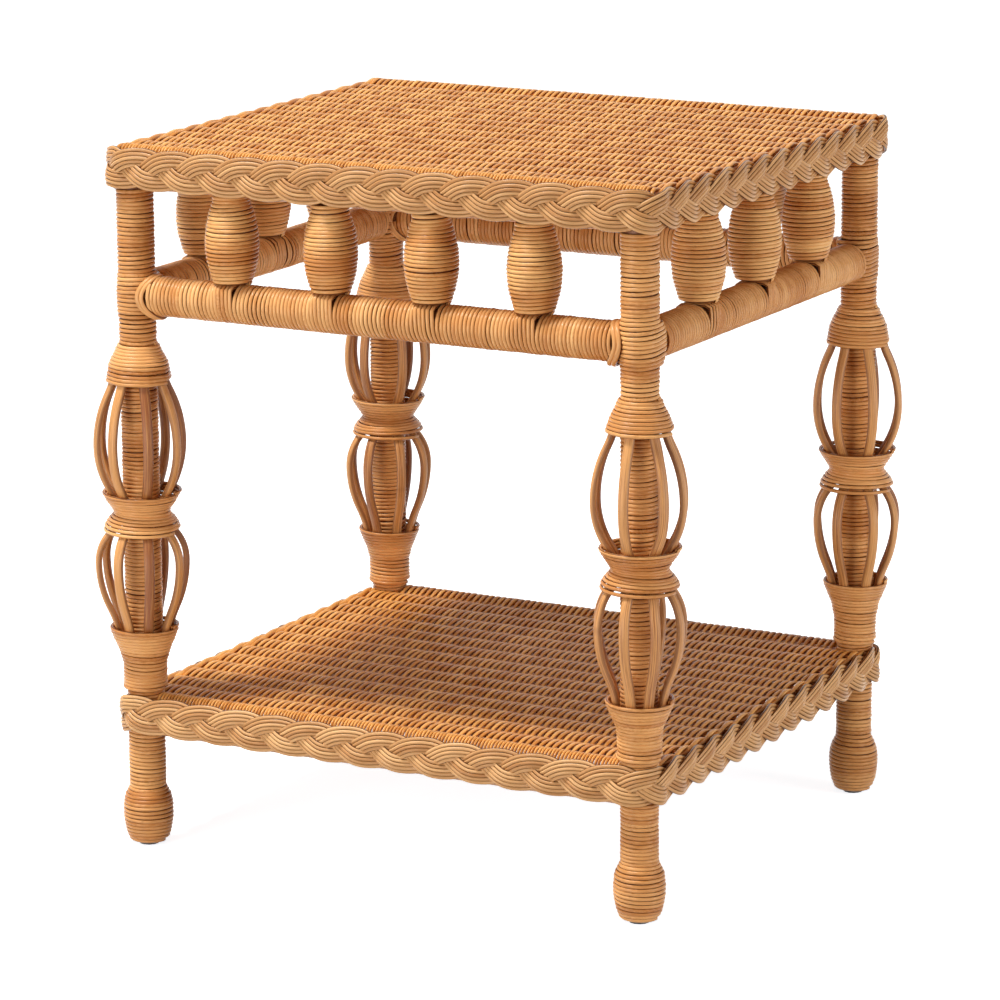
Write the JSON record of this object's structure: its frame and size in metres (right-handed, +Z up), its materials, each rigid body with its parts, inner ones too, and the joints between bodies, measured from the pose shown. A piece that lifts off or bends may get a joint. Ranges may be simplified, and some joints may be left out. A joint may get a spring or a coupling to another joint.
{
  "type": "rattan side table",
  "caption": "Rattan side table with a woven top and lower shelf, plaited edges, a spindle apron, and wrapped legs with bent-rib bird-cages.",
  "frame": {"origin": "on the floor, midway between the four feet", "axes": "+Z up, +X to the right along the front, +Y from the front to the rear"},
  "size_m": [0.5106, 0.4614, 0.5605],
  "materials": {
    "rattan_pole": "clear satin lacquer",
    "binding_cane": "clear satin lacquer",
    "woven_cane": "clear satin lacquer",
    "plait_cane": "clear satin lacquer",
    "glide": "moulded"
  },
  "bodies": {
    "root": {"apron_rail_front": "rattan_pole", "apron_rail_left": "rattan_pole", "apron_rail_rear": "rattan_pole", "apron_rail_right": "rattan_pole", "apron_spindles": "binding_cane", "apron_wrap_front": "binding_cane", "apron_wrap_left": "binding_cane", "apron_wrap_rear": "binding_cane", "apron_wrap_right": "binding_cane", "bell_bindings": "binding_cane", "cage_ribs": "rattan_pole", "cup_bindings": "binding_cane", "foot_bulbs": "binding_cane", "foot_glides": "glide", "leg_pole_front_left": "rattan_pole", "leg_pole_front_right": "rattan_pole", "leg_pole_rear_left": "rattan_pole", "leg_pole_rear_right": "rattan_pole", "leg_wrap_front_left": "binding_cane", "leg_wrap_front_right": "binding_cane", "leg_wrap_rear_left": "binding_cane", "leg_wrap_rear_right": "binding_cane", "shelf_frame_front": "rattan_pole", "shelf_frame_left": "rattan_pole", "shelf_frame_rear": "rattan_pole", "shelf_frame_right": "rattan_pole", "shelf_panel": "woven_cane", "shelf_plait": "plait_cane", "shelf_stakes": "rattan_pole", "top_frame_front": "rattan_pole", "top_frame_left": "rattan_pole", "top_frame_rear": "rattan_pole", "top_frame_right": "rattan_pole", "top_panel": "woven_cane", "top_plait": "plait_cane", "top_stakes": "rattan_pole", "waist_bindings": "binding_cane"}
  },
  "joints": []
}
